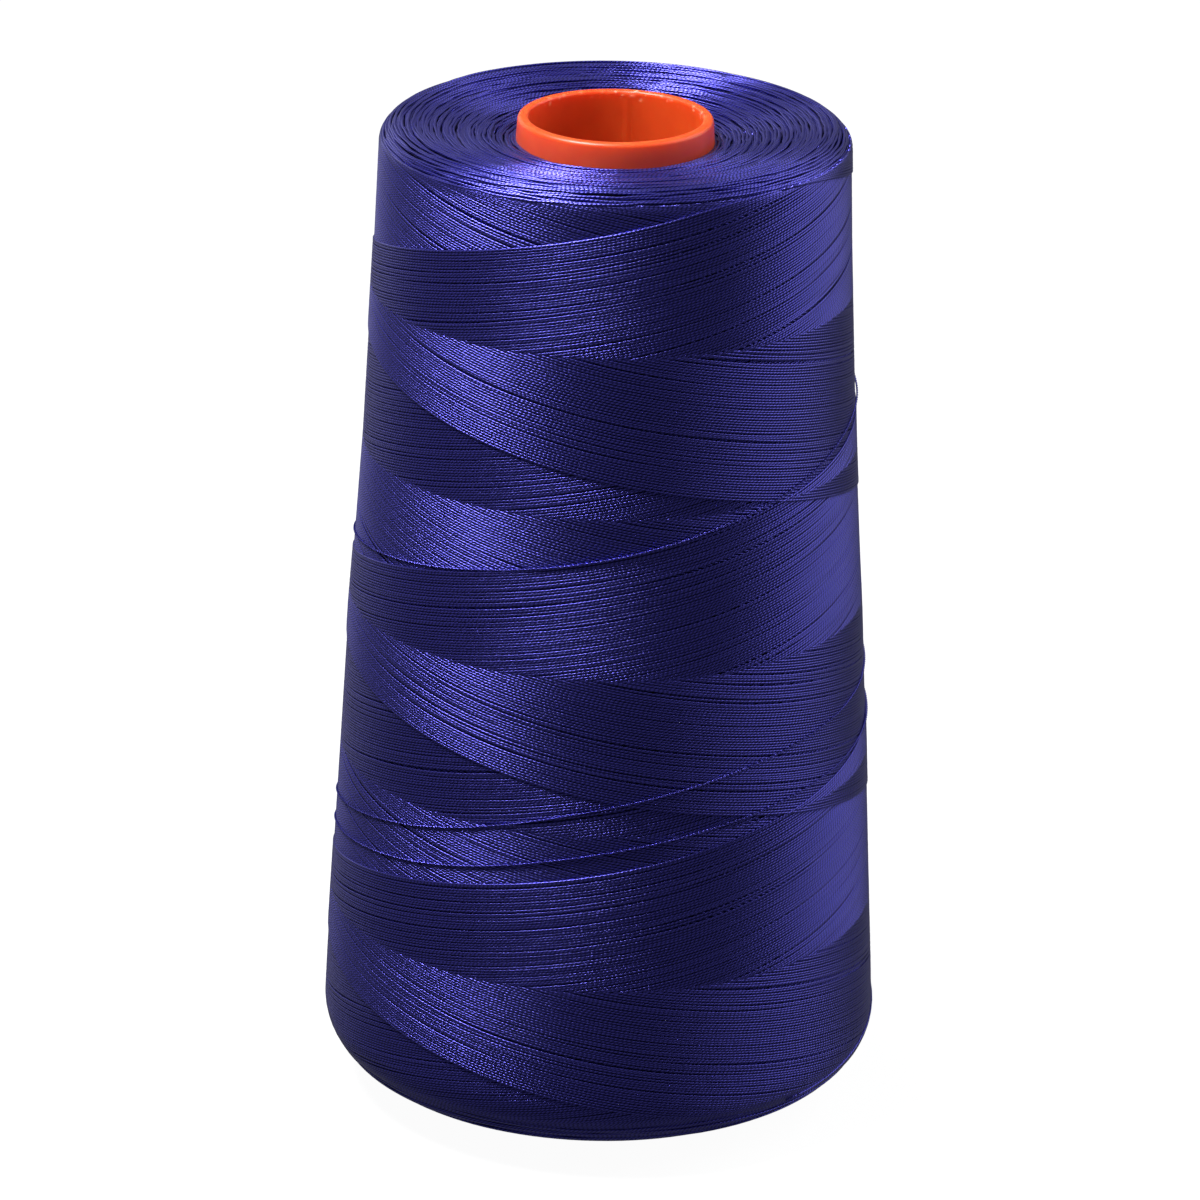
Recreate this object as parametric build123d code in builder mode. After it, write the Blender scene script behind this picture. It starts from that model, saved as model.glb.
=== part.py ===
from build123d import *
import os
from math import cos, radians, sin, tan

# A cone of sewing thread: a moulded plastic core that carries a cross-wound package.
# Millimetres, +Z up along the spool's axis. The origin is at the centre of the core's
# foot, the ring that the spool stands on. The front of the spool faces -Y.

# ---- core: a tapered tube, open at both ends ---------------------------------------
CORE_HEIGHT = 116.6
CORE_HALF_ANGLE = 3.5            # degrees, the common 3 deg 30 min textile cone
NOSE_OUTER_RADIUS = 10.95
NOSE_BORE_RADIUS = 9.75
NOSE_BORE_LENGTH = 6.0           # cylindrical land that a spindle or thread stand fits
NOSE_STEP_LENGTH = 0.6           # short slope from the land out to the tapered wall
CORE_WALL = 1.3
FOOT_WALL = 2.3                  # the foot rim is thickened inwards
FOOT_RIM_HEIGHT = 4.0
FOOT_SLOPE_LENGTH = 2.0
NOSE_LIP_ROUND = 0.55
FOOT_EDGE_ROUND = 0.3

# ---- package: one thread wound back and forth on the core ----------------------------
FOOT_CLEARANCE = 3.0             # how far the core's foot stands below the winding
PACKAGE_HEIGHT = 112.95          # to the sharp upper edge
PACKAGE_BASE_RADIUS = 32.36      # at the sharp lower edge, before it is rounded
PACKAGE_TOP_RADIUS = 26.17       # at the sharp upper edge, before it is rounded
BASE_EDGE_ROUND = 6.5
BASE_FLAT_START = 8.0            # where the sunken base meets the flat ring, in from the edge
SHOULDER_ROUND = 2.2
TOP_DISH = 2.25                  # the end faces sink towards the core
BASE_DISH = 1.0
WINDING_GAP = 0.05               # air between the innermost turns and the core

# ---- last turns: laid at an open pitch over the finished package ----------------------
THREAD_DIAMETER = 0.24
STRAND_SIDES = 12                # a section round enough for a thread, and light to mesh
TURN_RISE = 30.0                 # rise of one turn; the helix is right-handed
TURNS_START = 26.0               # height where the last turns leave the winding
TURNS_END = 100.0                # height where they go back into it
FRONT_CROSSING = 44.8            # height of one turn as it passes the front, -Y
STRAND_CLEARANCE = 0.01          # between the strand and the turns that it lies on

# ---- worked out from these ---------------------------------------------------------
core_slope = tan(radians(CORE_HALF_ANGLE))
package_bottom = FOOT_CLEARANCE
package_top = FOOT_CLEARANCE + PACKAGE_HEIGHT
package_slope = (PACKAGE_BASE_RADIUS - PACKAGE_TOP_RADIUS) / PACKAGE_HEIGHT
land_bottom = CORE_HEIGHT - NOSE_BORE_LENGTH
wall_top = land_bottom - NOSE_STEP_LENGTH
rim_top = FOOT_RIM_HEIGHT
rim_slope_top = FOOT_RIM_HEIGHT + FOOT_SLOPE_LENGTH


def core_radius(height):
    """Outer radius of the core at a height above the foot."""
    return NOSE_OUTER_RADIUS + (CORE_HEIGHT - height) * core_slope


def package_radius(height):
    """Radius of the package's tapered side at a height above the foot."""
    return PACKAGE_BASE_RADIUS - (height - package_bottom) * package_slope


os.makedirs("parts", exist_ok=True)

# ---- core_cone ---------------------------------------------------------------------
with BuildPart() as core_cone:
    with BuildSketch(Plane.XZ) as core_section:
        with BuildLine():
            Polyline(
                (core_radius(0) - FOOT_WALL, 0),
                (core_radius(0), 0),
                (NOSE_OUTER_RADIUS, CORE_HEIGHT),
                (NOSE_BORE_RADIUS, CORE_HEIGHT),
                (NOSE_BORE_RADIUS, land_bottom),
                (core_radius(wall_top) - CORE_WALL, wall_top),
                (core_radius(rim_slope_top) - CORE_WALL, rim_slope_top),
                (core_radius(rim_top) - FOOT_WALL, rim_top),
                close=True,
            )
        make_face()
        nose_corners = core_section.vertices().group_by(Axis.Y)[-1]
        fillet(nose_corners, radius=NOSE_LIP_ROUND)
        foot_corners = core_section.vertices().group_by(Axis.Y)[0]
        fillet(foot_corners, radius=FOOT_EDGE_ROUND)
    revolve(axis=Axis.Z)
core_cone.part.label = "core_cone"

# ---- thread_package ------------------------------------------------------------------
inner_bottom = package_bottom + BASE_DISH
inner_top = package_top - TOP_DISH
with BuildPart() as thread_package:
    with BuildSketch(Plane.XZ) as package_section:
        with BuildLine():
            Polyline(
                (core_radius(inner_bottom) + WINDING_GAP, inner_bottom),
                (PACKAGE_BASE_RADIUS - BASE_FLAT_START, package_bottom),
                (PACKAGE_BASE_RADIUS, package_bottom),
                (PACKAGE_TOP_RADIUS, package_top),
                (core_radius(inner_top) + WINDING_GAP, inner_top),
                close=True,
            )
        make_face()
        base_corner = package_section.vertices().sort_by(Axis.X)[-1]
        fillet(base_corner, radius=BASE_EDGE_ROUND)
        shoulder_corner = package_section.vertices().sort_by(Axis.Y)[-1]
        fillet(shoulder_corner, radius=SHOULDER_ROUND)
    revolve(axis=Axis.Z)
thread_package.part.label = "thread_package"

# ---- outer_turns: one strand swept along a conical helix -----------------------------
strand_offset = THREAD_DIAMETER / 2 + STRAND_CLEARANCE
start_turn = (TURNS_START - FRONT_CROSSING) / TURN_RISE
start_angle = radians(-90 + 360 * start_turn)
start_plane = Plane(
    origin=(0, 0, TURNS_START),
    x_dir=(cos(start_angle), sin(start_angle), 0),
    z_dir=(0, 0, 1),
)
taper_angle = Vector(package_slope, 1).get_angle(Vector(0, 1))
with BuildPart() as outer_turns:
    with BuildLine(start_plane) as turns_path:
        Helix(
            pitch=TURN_RISE,
            height=TURNS_END - TURNS_START,
            radius=package_radius(TURNS_START) + strand_offset,
            cone_angle=-taper_angle,
        )
    strand_plane = Plane(origin=turns_path.line @ 0, z_dir=turns_path.line % 0)
    with BuildSketch(strand_plane):
        RegularPolygon(THREAD_DIAMETER / 2, STRAND_SIDES)
    sweep(is_frenet=True)
outer_turns.part.label = "outer_turns"

for piece in (core_cone, thread_package, outer_turns):
    export_step(piece.part, f"parts/{piece.part.label}.step")
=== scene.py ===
from math import atan2, cos, pi, radians, sin

import bpy
import numpy as np
from mathutils import Matrix, Vector


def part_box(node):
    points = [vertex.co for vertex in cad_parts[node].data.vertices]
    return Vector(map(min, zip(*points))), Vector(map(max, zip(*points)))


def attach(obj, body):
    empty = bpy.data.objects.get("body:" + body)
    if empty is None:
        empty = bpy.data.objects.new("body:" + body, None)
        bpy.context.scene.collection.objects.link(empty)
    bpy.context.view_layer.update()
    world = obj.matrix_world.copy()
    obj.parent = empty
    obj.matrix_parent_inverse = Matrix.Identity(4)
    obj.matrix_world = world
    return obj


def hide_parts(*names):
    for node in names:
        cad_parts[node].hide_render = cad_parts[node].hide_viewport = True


# A cone of sewing thread. The whole winding is built as real strands, laid the way a
# winding machine lays them: back and forth between two turning lines while the package
# turns, each cycle a little ahead of the one before it. Lengths are in metres.

MM = 0.001

# ---- winding -----------------------------------------------------------------------
STRAND_RADIUS = 0.155 * MM
STRAND_FLATTEN = 0.78            # strands are pressed a little flat where they lie
STRAND_SIDES = 6
LAYER_THICKNESS = 0.14 * MM
CROSSING_SINK = 0.14 * MM        # how much deeper a strand lies where others cover it
PROUD_HEIGHTS = (0, 5, 12, 55, 63, 76, 100, 113)          # mm above the winding's underside
PROUD = (0.10, 0.30, 0.37, 0.37, 0.22, 0.04, 0.15, 0.36)  # mm that newest strands stand proud
CYCLES = 118                     # strokes side by side that cover the package once
TURNS_PER_STROKE = 3
LAST_TURN_ANGLE = radians(42.5)  # where the newest stroke turned round at the top
BASE_TURN_HEIGHT = 2.4 * MM      # turning lines, above the winding's underside
TOP_TURN_HEIGHT = 112.2 * MM
TURN_EASE = radians(26)          # a stroke bends round over this much rotation each way
SEGMENTS_PER_TURN = 116
UNTIDY = 0.018 * MM              # sideways wander of a strand; a few wander much more
BRIDGE_AGE = 0.025               # how quickly a strand climbs over an edge, in cycles
BEAD_LENGTH = 0.51 * MM          # one ply crossing of the two-ply thread
LIFT_SPREAD = 0.004 * MM
BODY_SINK = 3.4 * LAYER_THICKNESS + CROSSING_SINK + 2 * STRAND_RADIUS  # below the newest strands
BODY_CLOSING = 0.985             # the body's ends close towards the axis by this share

# ---- loose last turns: angle from the front in degrees, and height in mm ---------------
UPPER_ANGLES = (-100, -85, -40, 0, 40, 80, 170, 275, 320, 360, 400, 440, 540, 635)
UPPER_HEIGHTS = (
    31.3, 32.5, 37.0, 42.3, 46.4, 49.0, 55.6, 64.5, 67.7, 71.3, 75.9, 81.0, 90.3, 99.5,
)
LOWER_ANGLES = (-100, -85, -40, 0, 40, 80, 170, 275)
LOWER_HEIGHTS = (27.8, 29.0, 32.6, 37.0, 40.5, 42.8, 50.6, 60.5)
PLY_RADIUS = 0.072 * MM
PLY_OFFSET = 0.064 * MM          # of each ply's centre from the strand's centre
PLY_LEAD = 1.02 * MM             # length of one full twist
PLY_STEP = 0.13 * MM
TUCK_ANGLE = radians(15)         # a loose strand's ends go down between the others
TUCK_DEPTH = 0.45 * MM
BRIDGE_LENGTH = 2.5 * MM         # a taut strand spans dips in the surface this long
STAND_OFF_ANGLE = 447            # where the upper loose strand bows away from the winding
STAND_OFF_WIDTH = 9
STAND_OFF = 0.16 * MM

# ---- package outline, as on the CAD part -----------------------------------------------
PACKAGE_BASE_RADIUS = 32.36 * MM
PACKAGE_TOP_RADIUS = 26.17 * MM
BASE_EDGE_ROUND = 6.5 * MM
BASE_FLAT_START = 8.0 * MM
SHOULDER_ROUND = 2.2 * MM
TOP_DISH = 2.25 * MM
BASE_DISH = 1.0 * MM
SHOULDER_SHARP_EXTRA = 0.29 * MM  # the sharp shoulder corner above the rounded one
BASE_INNER_GAP = 0.6 * MM        # the outline starts this far inside the core's foot radius
TOP_INNER_RADIUS = 11.06 * MM    # and ends at this radius, against the nose
OUTLINE_STEP = 0.1 * MM

# ---- end faces: arcs of deeper strokes that turned round there -------------------------
TOP_ARC_SPACING = 0.28 * MM
BASE_ARC_SPACING = 0.26 * MM
ARC_TILT = 0.22 * MM
ARC_LIFT_SPREAD = 0.10 * MM
ARC_END_SINK = 0.42 * MM
ARC_DEPTH = 0.2 * MM
ARC_WANDER = 0.08 * MM
ARC_REACH = 1.4 * MM             # how far the arcs run past the turning line, down the side

# ---- core section, as on the CAD part --------------------------------------------------
NOSE_OUTER_RADIUS = 10.95 * MM
BORE_RADIUS = 9.75 * MM
BORE_LENGTH = 6.0 * MM
BORE_STEP = 0.6 * MM
CORE_WALL = 1.3 * MM
FOOT_WALL = 2.3 * MM
RIM_HEIGHT = 4.0 * MM
RIM_SLOPE = 2.0 * MM
LIP_ROUND = 0.55 * MM
INNER_LIP_ROUND = 0.35 * MM
FINE_STEP = 0.15 * MM
COARSE_STEP = 1.5 * MM
NICKS = 60
NICK_DEPTH = 0.12 * MM
SEAM_ANGLE = radians(172.5)
SEAM_WIDTH = 0.35 * MM
SEAM_HEIGHT = 0.05 * MM
SEAM_FACING = -0.9               # the seam shows only on the wall that faces the axis
FOOT_INNER_ROUND = 0.5 * MM
FOOT_EDGE_ROUND = 0.3 * MM
BORE_STEP_ROUND = 0.2 * MM

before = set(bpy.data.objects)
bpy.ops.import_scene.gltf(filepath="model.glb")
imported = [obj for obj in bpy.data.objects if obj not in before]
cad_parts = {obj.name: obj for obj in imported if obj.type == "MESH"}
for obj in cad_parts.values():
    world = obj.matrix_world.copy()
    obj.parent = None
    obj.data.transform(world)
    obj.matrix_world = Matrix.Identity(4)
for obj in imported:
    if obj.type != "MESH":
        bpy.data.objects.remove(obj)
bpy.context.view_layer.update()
package_low, package_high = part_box("thread_package")
core_low, core_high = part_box("core_cone")


# ---- outline of the package --------------------------------------------------------
def rounded(corners, radii, step=FINE_STEP):
    """Points along a polyline whose inner corners are rounded with these radii."""
    points = [corners[0]]
    for before, corner, after, radius in zip(corners, corners[1:], corners[2:], radii):
        back = (before - corner).normalized()
        ahead = (after - corner).normalized()
        half = back.angle(ahead) / 2
        if radius == 0:
            points.append(corner)
            continue
        centre = corner + (back + ahead).normalized() * (radius / sin(half))
        start = corner + back * (radius / np.tan(half)) - centre
        end = corner + ahead * (radius / np.tan(half)) - centre
        first = atan2(start.y, start.x)
        sweep = (atan2(end.y, end.x) - first + pi) % (2 * pi) - pi
        count = max(4, int(abs(sweep) * radius / step))
        for angle in np.linspace(first, first + sweep, count):
            points.append(centre + radius * Vector((cos(angle), sin(angle))))
    points.append(corners[-1])
    return np.array(points)


class Outline:
    """The package's outline by arc length, from the core at the base to the core at the top."""

    def __init__(self):
        low, high = package_low.z, package_high.z + SHOULDER_SHARP_EXTRA
        corners = [
            Vector((core_high.x - BASE_INNER_GAP, low + BASE_DISH)),
            Vector((PACKAGE_BASE_RADIUS - BASE_FLAT_START, low)),
            Vector((PACKAGE_BASE_RADIUS, low)),
            Vector((PACKAGE_TOP_RADIUS, high)),
            Vector((TOP_INNER_RADIUS, high - TOP_DISH)),
        ]
        points = rounded(corners, (0, BASE_EDGE_ROUND, SHOULDER_ROUND))
        steps = np.hypot(*np.diff(points, axis=0).T)
        length = np.concatenate([[0], np.cumsum(steps)])
        self.total = length[-1]
        self.s = np.arange(0, self.total, OUTLINE_STEP)
        self.r = np.interp(self.s, length, points[:, 0])
        self.z = np.interp(self.s, length, points[:, 1])
        along_r, along_z = np.gradient(self.r), np.gradient(self.z)
        size = np.hypot(along_r, along_z)
        self.normal_r, self.normal_z = along_z / size, -along_r / size

    def at_height(self, height):
        """Arc length where the side passes this height above the underside."""
        side = self.z[: np.argmax(self.z) + 1]
        rising = np.argmin(side)
        return np.interp(height + package_low.z, side[rising:], self.s[rising : len(side)])

    def place(self, angle, s, lift):
        """Point and outward normal at a rotation from the front, an arc length and a lift."""
        normal_r = np.interp(s, self.s, self.normal_r)
        normal_z = np.interp(s, self.s, self.normal_z)
        r = np.interp(s, self.s, self.r) + lift * normal_r
        z = np.interp(s, self.s, self.z) + lift * normal_z
        point = np.stack([r * np.sin(angle), -r * np.cos(angle), z], -1)
        normal = np.stack([normal_r * np.sin(angle), -normal_r * np.cos(angle), normal_z], -1)
        return point, normal


outline = Outline()


# ---- strands as meshes ---------------------------------------------------------------
def mesh_object(name, points, quads, uv):
    """A smooth mesh object from vertex points, quads and a UV pair for each corner."""
    mesh = bpy.data.meshes.new(name)
    mesh.vertices.add(len(points))
    mesh.vertices.foreach_set("co", np.asarray(points, np.float32).ravel())
    mesh.loops.add(quads.size)
    mesh.loops.foreach_set("vertex_index", np.asarray(quads, np.int32).ravel())
    mesh.polygons.add(len(quads))
    mesh.polygons.foreach_set("loop_start", np.arange(0, quads.size, 4, dtype=np.int32))
    mesh.polygons.foreach_set("use_smooth", np.ones(len(quads), bool))
    layer = mesh.uv_layers.new(name="strand")
    layer.uv.foreach_set("vector", np.asarray(uv, np.float32).ravel())
    mesh.update(calc_edges=True)
    mesh.validate()
    piece = bpy.data.objects.new(name, mesh)
    bpy.context.scene.collection.objects.link(piece)
    return piece


def tube(points, normals, radius, flatten, sides):
    """Vertices, quads and UVs of a closed tube along points, pressed flatter along the normals."""
    tangent = np.gradient(points, axis=0)
    tangent /= np.linalg.norm(tangent, axis=1, keepdims=True)
    side = np.cross(tangent, normals)
    side /= np.linalg.norm(side, axis=1, keepdims=True)
    up = np.cross(side, tangent)
    around = np.arange(sides) * 2 * pi / sides + pi / sides
    rings = (
        points[:, None]
        + up[:, None] * (radius * flatten * np.cos(around))[None, :, None]
        + side[:, None] * (radius * np.sin(around))[None, :, None]
    )
    count = len(points)
    ring, spoke = np.meshgrid(np.arange(count - 1), np.arange(sides), indexing="ij")
    after = (spoke + 1) % sides
    quads = np.stack(
        [ring * sides + spoke, ring * sides + after,
         (ring + 1) * sides + after, (ring + 1) * sides + spoke], -1,
    ).reshape(-1, 4)
    last = (count - 1) * sides
    caps = np.array([[3, 2, 1, 0], [5, 4, 3, 0], [last, last + 1, last + 2, last + 3],
                     [last, last + 3, last + 4, last + 5]])
    run = np.concatenate([[0], np.cumsum(np.linalg.norm(np.diff(points, axis=0), axis=1))])
    bead = run / BEAD_LENGTH
    u = np.stack([bead[ring], bead[ring], bead[ring + 1], bead[ring + 1]], -1)
    v = np.stack([spoke, spoke + 1, spoke + 1, spoke], -1) / sides
    uv = np.stack([u, v], -1).reshape(-1, 4, 2)
    cap_uv = np.zeros((4, 4, 2))
    return rings.reshape(-1, 3), np.concatenate([quads, caps]), np.concatenate([uv, cap_uv])


def strands_object(name, strands, radius=STRAND_RADIUS, flatten=STRAND_FLATTEN):
    """One object of many strands. Each strand's index is the whole part of its UV's v."""
    all_points, all_quads, all_uv = [], [], []
    phases = np.random.default_rng(3)
    base = 0
    for index, (points, normals) in enumerate(strands):
        vertices, quads, uv = tube(points, normals, radius, flatten, STRAND_SIDES)
        uv[..., 0] += phases.random() * 2
        uv[..., 1] += index
        all_points.append(vertices)
        all_quads.append(quads + base)
        all_uv.append(uv)
        base += len(vertices)
    return mesh_object(
        name, np.concatenate(all_points), np.concatenate(all_quads), np.concatenate(all_uv)
    )


def finish_piece(piece, material, *replaced, slot="thread"):
    """Give a piece its material and body, and hide the CAD nodes that it replaces. The slot is not
    used.
    """
    piece.data.materials.append(material)
    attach(piece, "root")
    if replaced:
        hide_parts(*replaced)


# ---- winding law -------------------------------------------------------------------
base_turn = outline.at_height(BASE_TURN_HEIGHT)
top_turn = outline.at_height(TOP_TURN_HEIGHT)
proud_places = outline.at_height(np.array(PROUD_HEIGHTS) * MM)
rise_per_turn = (top_turn - base_turn) / TURNS_PER_STROKE
stroke_rotation = 2 * pi * TURNS_PER_STROKE


def rising_age(angle, s):
    """Age of the rising stroke at a place, 0 for the newest to 1 for the oldest that shows."""
    start = angle - (s - base_turn) * 2 * pi / rise_per_turn
    return ((start - LAST_TURN_ANGLE + stroke_rotation) / (2 * pi)) % 1


def falling_age(angle, s):
    """Age of the falling stroke at a place."""
    start = angle - (top_turn - s) * 2 * pi / rise_per_turn
    return ((start - LAST_TURN_ANGLE) / (2 * pi)) % 1


def eased_progress(rotation):
    """Arc length climbed from the base turning line, with both ends of the stroke bent round."""
    slope = rise_per_turn / (2 * pi)
    climb = slope * rotation
    at_start = slope * (rotation**2 / (2 * TURN_EASE) + TURN_EASE / 2)
    left = stroke_rotation - rotation
    at_end = slope * stroke_rotation - slope * (left**2 / (2 * TURN_EASE) + TURN_EASE / 2)
    climb = np.where(rotation < TURN_EASE, at_start, climb)
    return np.where(left < TURN_EASE, at_end, climb)


def smooth_step(share):
    """A smooth rise from 0 to 1 as the share goes from 0 to 1."""
    share = np.clip(share, 0, 1)
    return share * share * (3 - 2 * share)


def proud(s):
    """How far the newest strands stand outside the CAD solid, by arc length."""
    return np.interp(s, proud_places, PROUD) * MM


def lift_over(own_age, other_age):
    """How far below the newest strand a strand lies: it sinks by one layer as the strands of the
    other family that it was laid on get older, and climbs back where it crosses their edge."""
    behind = (other_age - own_age) % 1
    climb = smooth_step((behind - 1 + BRIDGE_AGE) / BRIDGE_AGE)
    covered = np.where(other_age < own_age, smooth_step(other_age / BRIDGE_AGE), 0)
    sink = LAYER_THICKNESS * (2 * own_age + behind - climb)
    return -sink - CROSSING_SINK * covered * (1 - climb)


def wander(rng, rotation, size):
    """A smooth sideways wander along a strand, in metres; frequencies are per radian."""
    total = np.zeros_like(rotation)
    for frequency, share in ((0.45, 1.0), (1.1, 0.7), (2.3, 0.6), (5.0, 0.45), (9.0, 0.2)):
        total += share * np.sin(frequency * rotation + rng.uniform(0, 2 * pi))
    return size * total


def stroke(cycle, rising, rng):
    """One stroke of the thread from one turning line to the other."""
    own_age = (cycle + 0.5) / CYCLES
    rotation = np.linspace(0, stroke_rotation, TURNS_PER_STROKE * SEGMENTS_PER_TURN + 1)
    start = LAST_TURN_ANGLE + 2 * pi * own_age
    progress = eased_progress(rotation)
    untidy = UNTIDY * (0.5 + 8 * rng.random() ** 5)
    offset = wander(rng, rotation, untidy)
    if rising:
        angle = start - stroke_rotation + rotation
        s = base_turn + progress
        other = falling_age(angle, s)
    else:
        angle = start + rotation
        s = top_turn - progress
        other = rising_age(angle, s)
    lift = lift_over(own_age, other) + proud(s) - STRAND_RADIUS * STRAND_FLATTEN
    lift = lift + rng.normal(0, LIFT_SPREAD)
    return outline.place(angle, s + offset, lift)


def body_of_winding(material):
    """The inside of the package, coloured near black as painted shade, that shows only as depth
    between strands.
    """
    rows = np.linspace(0, outline.total, 240)
    columns = 180
    angle = np.linspace(0, 2 * pi, columns, endpoint=False)
    grid_s, grid_angle = np.meshgrid(rows, angle, indexing="ij")
    points, _ = outline.place(grid_angle, grid_s, proud(grid_s) - BODY_SINK)
    inner_low = points[0] * [BODY_CLOSING, BODY_CLOSING, 1]
    inner_high = points[-1] * [BODY_CLOSING, BODY_CLOSING, 1]
    points = np.concatenate([points, inner_high[None], inner_low[None]])
    count = len(points)
    row, column = np.meshgrid(np.arange(count), np.arange(columns), indexing="ij")
    next_row = (row + 1) % count
    next_column = (column + 1) % columns
    quads = np.stack(
        [row * columns + column, row * columns + next_column,
         next_row * columns + next_column, next_row * columns + column], -1,
    ).reshape(-1, 4)
    u = np.stack([column, column + 1, column + 1, column], -1)
    v = np.stack([row, row, row + 1, row + 1], -1)
    piece = mesh_object("winding_body", points.reshape(-1, 3), quads, np.stack([u, v], -1))
    finish_piece(piece, material, "thread_package")


def side_winding(material):
    """Both families of strokes, in groups so that no piece is too heavy."""
    groups = 3
    rng = np.random.default_rng(7)
    for rising, label in ((True, "rising"), (False, "falling")):
        for group in range(groups):
            cycles = range(group * CYCLES // groups, (group + 1) * CYCLES // groups)
            strands = [stroke(cycle, rising, rng) for cycle in cycles]
            piece = strands_object(f"{label}_turns_{group + 1}", strands)
            finish_piece(piece, material)


def smooth_through(knots, values, at):
    """Values along a smooth curve through knots, which are in ascending order."""
    slope = np.gradient(values, knots)
    span = np.clip(np.searchsorted(knots, at) - 1, 0, len(knots) - 2)
    width = knots[span + 1] - knots[span]
    t = (at - knots[span]) / width
    rise = values[span + 1] - values[span]
    start, end = slope[span] * width, slope[span + 1] * width
    bend = start * t * (1 - t) ** 2 - end * t**2 * (1 - t)
    return values[span] + rise * smooth_step(t) + bend


def loose_strand(knots, heights, stand_off):
    """Two twisted plies that follow heights above the winding's underside, by angle in degrees,
    and bow away from it by the stand-off at one place."""
    knots = np.radians(knots)
    heights = np.array(heights) * MM
    length = (knots[-1] - knots[0]) * PACKAGE_BASE_RADIUS
    angle = np.linspace(knots[0], knots[-1], int(length / PLY_STEP))
    s = outline.at_height(smooth_through(knots, heights, angle))
    tucked = smooth_step((angle - knots[0]) / TUCK_ANGLE)
    tucked = tucked * smooth_step((knots[-1] - angle) / TUCK_ANGLE)
    bed = proud(s) - LAYER_THICKNESS * (rising_age(angle, s) + falling_age(angle, s))
    window = int(BRIDGE_LENGTH / PLY_STEP)
    padded = np.pad(bed, window, mode="edge")
    taut = np.max([padded[shift : shift + len(bed)] for shift in range(0, 2 * window, 8)], axis=0)
    average = np.ones(2 * window + 1) / (2 * window + 1)
    taut = np.convolve(np.pad(taut, window, mode="edge"), average, "valid")
    bowed = np.exp(-(((np.degrees(angle) - STAND_OFF_ANGLE) / STAND_OFF_WIDTH) ** 2))
    lift = taut - TUCK_DEPTH * (1 - tucked) + stand_off * bowed
    centre, normal = outline.place(angle, s, lift + PLY_OFFSET)
    tangent = np.gradient(centre, axis=0)
    tangent /= np.linalg.norm(tangent, axis=1, keepdims=True)
    side = np.cross(tangent, normal)
    run = np.concatenate([[0], np.cumsum(np.linalg.norm(np.diff(centre, axis=0), axis=1))])
    plies = []
    for start in (0, pi):
        turn = (run * 2 * pi / PLY_LEAD + start)[:, None]
        across = normal * np.cos(turn) + side * np.sin(turn)
        plies.append((centre + PLY_OFFSET * across, across))
    return plies


def loose_turns(material):
    """The last turns, wound loosely over the finished package."""
    upper = loose_strand(UPPER_ANGLES, UPPER_HEIGHTS, STAND_OFF)
    lower = loose_strand(LOWER_ANGLES, LOWER_HEIGHTS, 0)
    piece = strands_object("loose_turns", upper + lower, PLY_RADIUS, 1.0)
    finish_piece(piece, material, "outer_turns")


def end_arcs(s_from, s_to, spacing, rng):
    """Short arcs where strokes of deeper layers turned round: they form an end face."""
    strands = []
    for s in np.arange(s_from, s_to, spacing):
        count = rng.integers(5, 8)
        first = rng.uniform(0, 2 * pi)
        for number in range(count):
            centre = first + (number + rng.uniform(-0.2, 0.2)) * 2 * pi / count
            half = rng.uniform(0.75, 1.05) * 2 * pi / count
            angle = np.linspace(centre - half, centre + half, max(12, int(half * 40)))
            across = (angle - centre) / half
            tilt = rng.normal(0, ARC_TILT)
            sink = ARC_END_SINK * across**4
            lift = rng.normal(0, ARC_LIFT_SPREAD) + proud(s) - ARC_DEPTH - sink - STRAND_RADIUS
            wave = wander(rng, angle * 7, ARC_WANDER)
            strands.append(outline.place(angle, s + tilt * across + wave, lift))
    return strands


def end_faces(material):
    """The top and base faces of the package, with strands laid round them."""
    rng = np.random.default_rng(11)
    top = end_arcs(top_turn - ARC_REACH, outline.total - 0.15 * MM, TOP_ARC_SPACING, rng)
    finish_piece(strands_object("top_face_turns", top), material)
    base = end_arcs(0.3 * MM, base_turn + ARC_REACH, BASE_ARC_SPACING, rng)
    finish_piece(strands_object("base_face_turns", base), material)


# ---- core ------------------------------------------------------------------------------
def core_rows():
    """Radius and height down the core's closed section, with the nose finely divided."""
    top = core_high.z
    slope = (core_high.x - NOSE_OUTER_RADIUS) / top

    def wall(height, thickness):
        return Vector((core_high.x - height * slope - thickness, height))

    middle = wall(top / 2, CORE_WALL)
    corners = [
        middle,
        wall(RIM_HEIGHT + RIM_SLOPE, CORE_WALL),
        wall(RIM_HEIGHT, FOOT_WALL),
        wall(0, FOOT_WALL),
        wall(0, 0),
        wall(top, 0),
        Vector((BORE_RADIUS, top)),
        Vector((BORE_RADIUS, top - BORE_LENGTH)),
        wall(top - BORE_LENGTH - BORE_STEP, CORE_WALL),
        middle,
    ]
    radii = (
        FOOT_INNER_ROUND, FOOT_INNER_ROUND, FOOT_EDGE_ROUND, FOOT_EDGE_ROUND,
        LIP_ROUND, INNER_LIP_ROUND, BORE_STEP_ROUND, BORE_STEP_ROUND,
    )
    section = rounded(corners, radii)
    rows = [section[0]]
    for start, end in zip(section, section[1:]):
        near_nose = min(start[1], end[1]) > top - BORE_LENGTH - BORE_STEP - 0.1 * MM
        step = FINE_STEP if near_nose else COARSE_STEP
        count = max(1, int(np.hypot(*(end - start)) / step))
        rows.extend(start + (end - start) * share for share in np.linspace(0, 1, count + 1)[1:])
    return np.array(rows[:-1])


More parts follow.
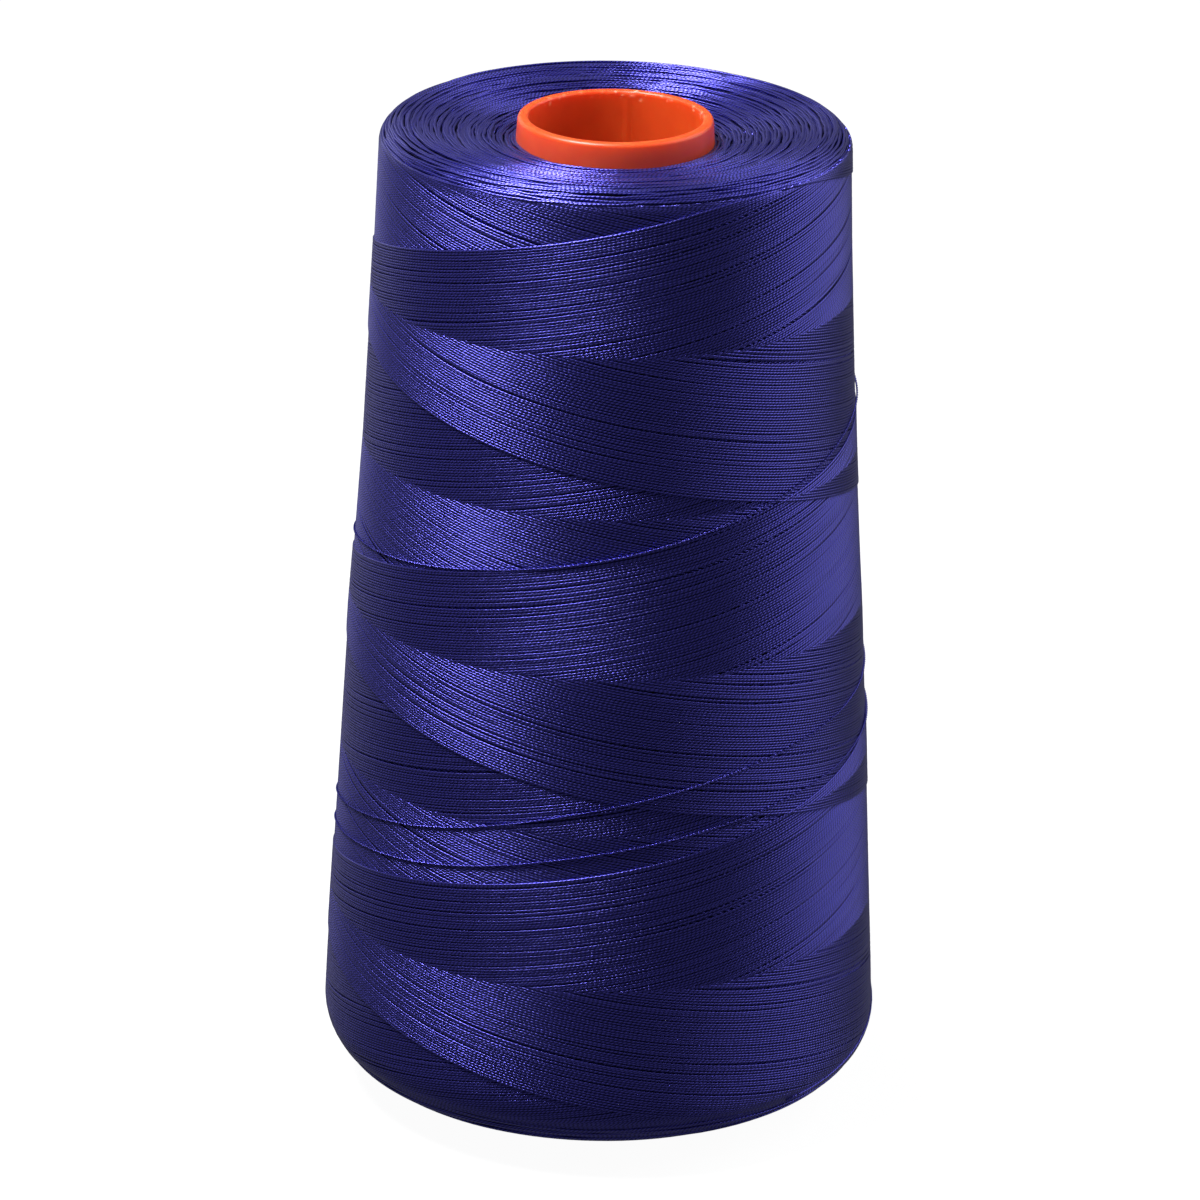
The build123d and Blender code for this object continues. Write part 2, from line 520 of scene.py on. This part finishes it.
def core_piece(material):
    """The moulded core, with a seam down its back wall and nicks in the rim from handling."""
    rows = core_rows()
    columns = 360
    angle = np.arange(columns) * 2 * pi / columns
    along = np.roll(rows, -1, axis=0) - np.roll(rows, 1, axis=0)
    along /= np.linalg.norm(along, axis=1, keepdims=True)
    normal_r, normal_z = along[:, 1:], -along[:, :1]
    r, z = rows[:, :1], rows[:, 1:]
    dent = np.zeros((len(rows), columns))
    rng = np.random.default_rng(5)
    for _ in range(NICKS):
        where = pi + rng.normal(0, 1.0)
        at_r = BORE_RADIUS + rng.uniform(0.0, 0.35) * MM
        at_z = core_high.z - rng.uniform(0.0, 0.9) * MM
        size = rng.uniform(0.08, 0.17) * MM
        turn = (angle[None] - where + pi) % (2 * pi) - pi
        sideways = turn * BORE_RADIUS * rng.uniform(0.5, 1.2)
        distance2 = sideways**2 + (r - at_r) ** 2 + (z - at_z) ** 2
        dent += rng.uniform(-1, 1) * NICK_DEPTH * np.exp(-distance2 / size**2)
    # Painted highlight: how much each place near a nick is painted lighter.
    nick_glint = np.clip(np.abs(dent) / (0.6 * NICK_DEPTH), 0, 1)
    inner = (normal_r < SEAM_FACING) & (z > RIM_HEIGHT)
    seam = (angle[None] - SEAM_ANGLE) * BORE_RADIUS / SEAM_WIDTH
    dent += np.where(inner, SEAM_HEIGHT, 0) * np.exp(-(seam**2))
    radius = r + dent * normal_r
    height = z + dent * normal_z
    points = np.stack([radius * np.sin(angle), -radius * np.cos(angle), height], -1)
    row, column = np.meshgrid(np.arange(len(rows)), np.arange(columns), indexing="ij")
    next_row = (row + 1) % len(rows)
    next_column = (column + 1) % columns
    quads = np.stack(
        [row * columns + column, row * columns + next_column,
         next_row * columns + next_column, next_row * columns + column], -1,
    ).reshape(-1, 4)
    u = np.stack([column, column + 1, column + 1, column], -1) / columns
    v = np.stack([row, row, row + 1, row + 1], -1) / len(rows)
    piece = mesh_object("core_moulding", points.reshape(-1, 3), quads, np.stack([u, v], -1))
    nick_glint_layer = piece.data.attributes.new("nick_glint", "FLOAT", "POINT")
    nick_glint_layer.data.foreach_set("value", nick_glint.astype(np.float32).ravel())
    finish_piece(piece, material, "core_cone", slot="core_plastic")


# ---- materials -----------------------------------------------------------------------
def new_material(name):
    """A new node material, with its nodes, links and surface shader."""
    material = bpy.data.materials.new(name)
    material.use_nodes = True
    nodes = material.node_tree.nodes
    return material, nodes, material.node_tree.links, nodes["Principled BSDF"]


def math_node(nodes, links, operation, *values):
    """The result of a math node whose inputs are numbers or other nodes' results."""
    node = nodes.new("ShaderNodeMath")
    node.operation = operation
    for socket, value in zip(node.inputs, values):
        if isinstance(value, (int, float)):
            socket.default_value = value
        else:
            links.new(value, socket)
    return node.outputs[0]


def thread_material():
    """Mercerised two-ply thread: a bead for each ply crossing, painted shade that darkens the grooves
    between the plies, and strands that differ a little.
    """
    material, nodes, links, surface = new_material("two_ply_thread")
    uv = nodes.new("ShaderNodeUVMap")
    uv.uv_map = "strand"
    split = nodes.new("ShaderNodeSeparateXYZ")
    links.new(uv.outputs[0], split.inputs[0])
    along, across = split.outputs[0], split.outputs[1]
    slant = math_node(nodes, links, "MULTIPLY", across, 2.0)
    phase = math_node(nodes, links, "ADD", along, slant)
    wave = math_node(nodes, links, "SINE", math_node(nodes, links, "MULTIPLY", phase, pi))
    ridge = math_node(nodes, links, "ABSOLUTE", wave)
    strand_number = math_node(nodes, links, "FLOOR", across)
    random = nodes.new("ShaderNodeTexWhiteNoise")
    random.noise_dimensions = "1D"
    links.new(strand_number, random.inputs["W"])
    # Painted shade: the colour runs from near black in the ply grooves to full blue on the bead
    # crests.
    colour = nodes.new("ShaderNodeValToRGB")
    colour.color_ramp.elements[0].color = (0.005, 0.005, 0.07, 1)
    colour.color_ramp.elements[1].color = (0.088, 0.080, 0.58, 1)
    shade = math_node(nodes, links, "MULTIPLY_ADD", random.outputs[0], 0.12, -0.06)
    groove_shade_and_tint = math_node(nodes, links, "ADD", ridge, shade)
    links.new(groove_shade_and_tint, colour.inputs[0])
    links.new(colour.outputs[0], surface.inputs["Base Color"])
    bump = nodes.new("ShaderNodeBump")
    bump.inputs["Strength"].default_value = 1.0
    bump.inputs["Distance"].default_value = 0.020 * MM
    links.new(ridge, bump.inputs["Height"])
    links.new(bump.outputs[0], surface.inputs["Normal"])
    links.new(bump.outputs[0], surface.inputs["Coat Normal"])
    surface.inputs["Roughness"].default_value = 0.28
    surface.inputs["Metallic"].default_value = 0.85
    surface.inputs["Specular IOR Level"].default_value = 0.5
    surface.inputs["Coat Weight"].default_value = 0.3
    surface.inputs["Coat Roughness"].default_value = 0.30
    surface.inputs["Sheen Weight"].default_value = 0.06
    surface.inputs["Sheen Roughness"].default_value = 0.4
    surface.inputs["Sheen Tint"].default_value = (0.6, 0.55, 1.0, 1)
    return material


def painted_shade_material():
    """Painted shade: thread deep in the winding, coloured matt and almost black."""
    material, nodes, links, surface = new_material("winding_painted_shade")
    noise = nodes.new("ShaderNodeTexNoise")
    noise.inputs["Scale"].default_value = 900
    colour = nodes.new("ShaderNodeValToRGB")
    colour.color_ramp.elements[0].color = (0.006, 0.004, 0.04, 1)
    colour.color_ramp.elements[1].color = (0.016, 0.010, 0.10, 1)
    links.new(noise.outputs[0], colour.inputs[0])
    links.new(colour.outputs[0], surface.inputs["Base Color"])
    surface.inputs["Roughness"].default_value = 0.8
    return material


def core_material():
    """Moulded polypropylene: satin, with faint flow marks, and nicks painted lighter as painted
    highlights.
    """
    material, nodes, links, surface = new_material("core_plastic")
    place = nodes.new("ShaderNodeTexCoord")
    noise = nodes.new("ShaderNodeTexNoise")
    noise.inputs["Scale"].default_value = 300
    links.new(place.outputs["Object"], noise.inputs["Vector"])
    colour = nodes.new("ShaderNodeValToRGB")
    colour.color_ramp.elements[0].color = (0.64, 0.062, 0.008, 1)
    colour.color_ramp.elements[1].color = (0.78, 0.095, 0.014, 1)
    links.new(noise.outputs[0], colour.inputs[0])
    # Painted highlight: nicked places are mixed towards a pale pink.
    nick_glint = nodes.new("ShaderNodeAttribute")
    nick_glint.attribute_name = "nick_glint"
    glint_mix = nodes.new("ShaderNodeMix")
    glint_mix.data_type = "RGBA"
    links.new(nick_glint.outputs["Fac"], glint_mix.inputs["Factor"])
    links.new(colour.outputs[0], glint_mix.inputs[6])
    glint_mix.inputs[7].default_value = (0.90, 0.36, 0.22, 1)
    links.new(glint_mix.outputs[2], surface.inputs["Base Color"])
    bump = nodes.new("ShaderNodeBump")
    bump.inputs["Strength"].default_value = 0.15
    bump.inputs["Distance"].default_value = 0.02 * MM
    links.new(noise.outputs[0], bump.inputs["Height"])
    links.new(bump.outputs[0], surface.inputs["Normal"])
    surface.inputs["Roughness"].default_value = 0.35
    surface.inputs["Specular IOR Level"].default_value = 0.35
    surface.inputs["Coat Weight"].default_value = 0.3
    surface.inputs["Coat Roughness"].default_value = 0.5
    surface.inputs["Subsurface Weight"].default_value = 0.6
    surface.inputs["Subsurface Radius"].default_value = (1.0, 0.25, 0.08)
    surface.inputs["Subsurface Scale"].default_value = 3.0 * MM
    return material


# ---- studio --------------------------------------------------------------------------
VIEW_ELEVATION = radians(21.15)
VIEW_DISTANCE = 0.7138
VIEW_HEIGHT = 0.059
VIEW_LENS = 186.4
VIEW_ROLL = 0.02005
FLOOR_SIZE = 12.0
LIGHTS_HEIGHT = 0.06             # the lights aim at the axis at this height
VIEW_SHIFT = (-0.00508, -0.00242)
FLOOR_SHADE = 0.10
FLOOR_GLOW = 0.96                # the floor of a white cove, lit from below
AMBIENT = 0.115                  # the cove's light on the spool
COVE_WHITE = 1.0                 # the cove as the camera sees it


def add_camera():
    """A long lens in front of the spool, looking down at it and tilted a little."""
    data = bpy.data.cameras.new("camera")
    camera = bpy.data.objects.new("camera", data)
    bpy.context.scene.collection.objects.link(camera)
    back = Vector((0, -cos(VIEW_ELEVATION), sin(VIEW_ELEVATION)))
    right = Vector((1, 0, 0))
    up = back.cross(right)
    tilted_right = right * cos(VIEW_ROLL) + up * sin(VIEW_ROLL)
    tilted_up = up * cos(VIEW_ROLL) - right * sin(VIEW_ROLL)
    turn = Matrix((tilted_right, tilted_up, back)).transposed().to_4x4()
    place = Vector((0, 0, VIEW_HEIGHT)) + back * VIEW_DISTANCE
    camera.matrix_world = Matrix.Translation(place) @ turn
    data.lens = VIEW_LENS
    data.sensor_width = 36
    data.shift_x, data.shift_y = VIEW_SHIFT
    data.clip_start = 0.01
    bpy.context.scene.camera = camera


def add_floor():
    """A pale floor that runs on past the picture on every side."""
    mesh = bpy.data.meshes.new("floor")
    half = FLOOR_SIZE / 2
    mesh.from_pydata(
        [(-half, -half, 0), (half, -half, 0), (half, half, 0), (-half, half, 0)], [], [(0, 1, 2, 3)]
    )
    floor = bpy.data.objects.new("floor", mesh)
    bpy.context.scene.collection.objects.link(floor)
    material, nodes, links, surface = new_material("pale_floor")
    surface.inputs["Base Color"].default_value = (FLOOR_SHADE, FLOOR_SHADE, FLOOR_SHADE, 1)
    surface.inputs["Roughness"].default_value = 0.9
    surface.inputs["Emission Color"].default_value = (1, 1, 1, 1)
    surface.inputs["Emission Strength"].default_value = FLOOR_GLOW
    floor.data.materials.append(material)
    floor.visible_diffuse = False
    floor.visible_glossy = False


def add_light(name, direction, distance, size, power):
    """A round soft light that aims at the middle of the spool from a direction."""
    data = bpy.data.lights.new(name, "AREA")
    data.shape = "DISK"
    data.size = size
    data.energy = power
    light = bpy.data.objects.new(name, data)
    bpy.context.scene.collection.objects.link(light)
    aim = direction.normalized()
    light.location = Vector((0, 0, LIGHTS_HEIGHT)) + aim * distance
    light.rotation_euler = aim.to_track_quat("Z", "Y").to_euler()


def add_studio():
    """A white cove with a softbox overhead and a card on each side."""
    add_floor()
    add_light("overhead_softbox", Vector((-0.365, -0.12, 0.92)), distance=0.42, size=0.17, power=3.05)
    add_light("right_card", Vector((0.85, 0.18, 0.55)), distance=0.5, size=0.55, power=1.25)
    add_light("left_card", Vector((-0.7, 1.0, 0.35)), distance=0.7, size=0.40, power=0.3)
    world = bpy.data.worlds.new("studio")
    world.use_nodes = True
    nodes, links = world.node_tree.nodes, world.node_tree.links
    background = nodes["Background"]
    background.inputs["Color"].default_value = (1, 1, 1, 1)
    seen = nodes.new("ShaderNodeLightPath")
    strength = nodes.new("ShaderNodeMapRange")
    links.new(seen.outputs["Is Camera Ray"], strength.inputs["Value"])
    strength.inputs["To Min"].default_value = AMBIENT
    strength.inputs["To Max"].default_value = COVE_WHITE
    links.new(strength.outputs["Result"], background.inputs["Strength"])
    bpy.context.scene.world = world
    bpy.context.scene.view_settings.view_transform = "Standard"


add_camera()
add_studio()
thread = thread_material()
body_of_winding(painted_shade_material())
side_winding(thread)
end_faces(thread)
core_piece(core_material())
loose_turns(thread)
